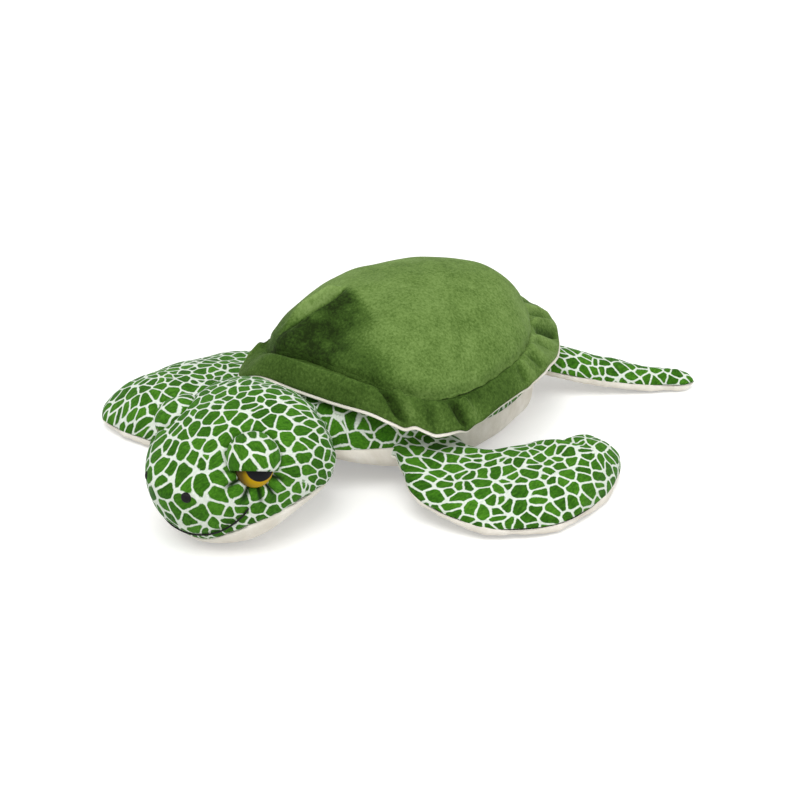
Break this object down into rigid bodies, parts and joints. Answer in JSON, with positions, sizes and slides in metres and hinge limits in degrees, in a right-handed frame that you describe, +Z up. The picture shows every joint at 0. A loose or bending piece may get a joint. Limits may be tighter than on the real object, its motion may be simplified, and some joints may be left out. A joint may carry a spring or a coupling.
{
  "type": "plush sea turtle",
  "caption": "Stuffed sea turtle lying on its belly, with a domed velour shell, a printed head with plastic eyes and paddle flippers that lift at their seams.",
  "frame": {"origin": "on the flat of the belly, where the toy rests, under the middle of the front half of the torso", "axes": "+Z up from the floor, -Y towards the nose, +X to the turtle's left"},
  "size_m": [0.4194, 0.4599, 0.132],
  "materials": {
    "print_cloth": "short pile, printed cells",
    "cream_cloth": "short pile, matt",
    "shell_velour": "velour with a soft sheen",
    "filling_fibre": "loose polyester fibre",
    "eye_plastic": "clear gloss",
    "washer_plastic": "moulded, matt",
    "embroidery_thread": "satin stitch"
  },
  "bodies": {
    "torso": {"torso_cover": "print_cloth", "belly_panel": "cream_cloth", "torso_filling": "filling_fibre", "shell_crown": "shell_velour", "shell_filling": "filling_fibre", "shell_rim": "shell_velour", "rim_lining": "cream_cloth"},
    "head": {"head_cover": "print_cloth", "chin_panel": "cream_cloth", "head_filling": "filling_fibre", "eye_left": "eye_plastic", "eye_right": "eye_plastic", "eye_washer_left": "washer_plastic", "eye_washer_right": "washer_plastic", "eyelid_left": "print_cloth", "eyelid_right": "print_cloth", "nostril_left": "embroidery_thread", "nostril_right": "embroidery_thread", "mouth_stitching": "embroidery_thread"},
    "front_left_flipper": {"front_left_flipper_top": "print_cloth", "front_left_flipper_underside": "cream_cloth", "front_left_flipper_filling": "filling_fibre"},
    "front_right_flipper": {"front_right_flipper_top": "print_cloth", "front_right_flipper_underside": "cream_cloth", "front_right_flipper_filling": "filling_fibre"},
    "rear_left_flipper": {"rear_left_flipper_top": "print_cloth", "rear_left_flipper_underside": "cream_cloth", "rear_left_flipper_filling": "filling_fibre"},
    "rear_right_flipper": {"rear_right_flipper_top": "print_cloth", "rear_right_flipper_underside": "cream_cloth", "rear_right_flipper_filling": "filling_fibre"}
  },
  "joints": [
    {"name": "neck_nod", "type": "hinge", "parent": "torso", "child": "head", "pos_m": [0, -0.1063, 0.046], "axis": [-1, 0, 0], "range_deg": [-8, 8]},
    {"name": "front_left_flipper_lift", "type": "hinge", "parent": "torso", "child": "front_left_flipper", "pos_m": [0.07244, -0.0445, 0.032], "axis": [-0.3549, -0.9349, 0], "range_deg": [-25, 12]},
    {"name": "front_right_flipper_lift", "type": "hinge", "parent": "torso", "child": "front_right_flipper", "pos_m": [-0.07244, -0.0445, 0.032], "axis": [-0.3549, 0.9349, 0], "range_deg": [-25, 12]},
    {"name": "rear_left_flipper_lift", "type": "hinge", "parent": "torso", "child": "rear_left_flipper", "pos_m": [0.03922, 0.13139, 0.034], "axis": [0.9252, -0.3794, 0], "range_deg": [-25, 12]},
    {"name": "rear_right_flipper_lift", "type": "hinge", "parent": "torso", "child": "rear_right_flipper", "pos_m": [-0.03922, 0.13139, 0.034], "axis": [0.9252, 0.3794, 0], "range_deg": [-25, 12]}
  ]
}
